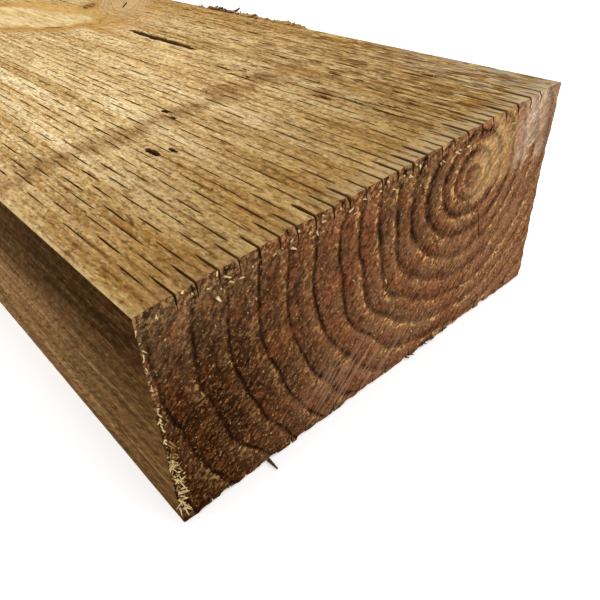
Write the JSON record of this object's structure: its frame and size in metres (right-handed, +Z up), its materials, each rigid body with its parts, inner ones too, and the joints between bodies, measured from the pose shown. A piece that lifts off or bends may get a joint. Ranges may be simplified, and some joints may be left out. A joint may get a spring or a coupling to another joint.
{
  "type": "railway sleeper",
  "caption": "Long sawn softwood sleeper with incised wide faces and square ends, for retaining walls, raised beds, steps and edging.",
  "frame": {"origin": "middle of the underside, which lies on the floor", "axes": "+X along the timber, +Y across its wide faces, +Z up through its thickness"},
  "size_m": [2.4, 0.2, 0.095],
  "materials": {
    "treated_softwood": "sawn and incised, pressure treated brown"
  },
  "bodies": {
    "root": {"sleeper": "treated_softwood"}
  },
  "joints": []
}
